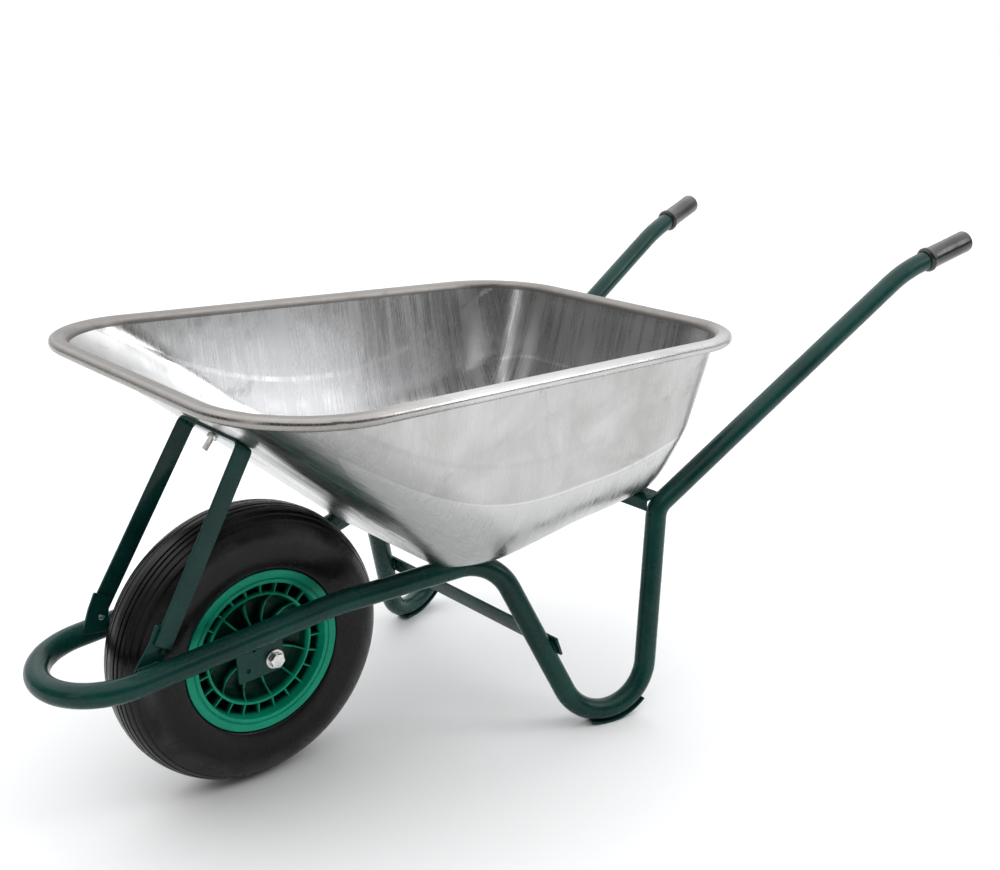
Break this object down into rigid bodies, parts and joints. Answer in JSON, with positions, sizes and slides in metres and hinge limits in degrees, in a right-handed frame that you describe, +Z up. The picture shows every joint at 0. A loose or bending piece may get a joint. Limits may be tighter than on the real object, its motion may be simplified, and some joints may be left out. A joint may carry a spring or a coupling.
{
  "type": "wheelbarrow",
  "caption": "Wheelbarrow with a deep steel tray on a bent-tube frame, a pneumatic front wheel that spins on its axle bolt, rear legs and two handles with grips.",
  "frame": {"origin": "on the ground under the middle of the footprint", "axes": "+X forward to the wheel, +Y to the left hand of the person pushing, +Z up"},
  "size_m": [1.5566, 0.6534, 0.6664],
  "materials": {
    "green_paint": "glossy dark green paint on steel tube, flat bar and plate",
    "galvanised_steel": "galvanised deep-drawn sheet, mottled, with drawing marks",
    "zinc_plate": "bright zinc plating",
    "green_plastic": "moulded, semi-gloss emerald green",
    "tyre_rubber": "black, ribbed tread, satin sidewall",
    "tube_rubber": "smooth black butyl rubber",
    "cap_plastic": "black moulded plastic",
    "grip_plastic": "black soft vinyl, glossy"
  },
  "bodies": {
    "frame": {"frame_tube_left": "green_paint", "frame_tube_right": "green_paint", "foot_plate_left": "green_paint", "foot_plate_right": "green_paint", "axle_bracket_left": "green_paint", "axle_bracket_right": "green_paint", "strap_tab_left": "green_paint", "strap_tab_right": "green_paint", "front_strap": "green_paint", "leg_brace": "green_paint", "rear_crossmember": "green_paint", "tray": "galvanised_steel", "tray_bolt_front": "zinc_plate", "tray_bolt_rear_left": "zinc_plate", "tray_bolt_rear_right": "zinc_plate", "tray_nut_front": "zinc_plate", "tray_nut_rear_left": "zinc_plate", "tray_nut_rear_right": "zinc_plate", "grip_left": "grip_plastic", "grip_right": "grip_plastic", "axle_bolt": "zinc_plate", "axle_nut": "zinc_plate", "axle_washer_left": "zinc_plate", "axle_washer_right": "zinc_plate", "axle_sleeve_left": "zinc_plate", "axle_sleeve_right": "zinc_plate"},
    "wheel": {"tyre": "tyre_rubber", "inner_tube": "tube_rubber", "wheel_centre": "green_plastic", "bearing_left": "zinc_plate", "bearing_right": "zinc_plate", "valve_stem": "tube_rubber", "valve_cap": "cap_plastic"}
  },
  "joints": [
    {"name": "wheel_spin", "type": "hinge", "parent": "frame", "child": "wheel", "pos_m": [0.4773, 0, 0.2], "axis": [0, 1, 0], "continuous": true}
  ]
}
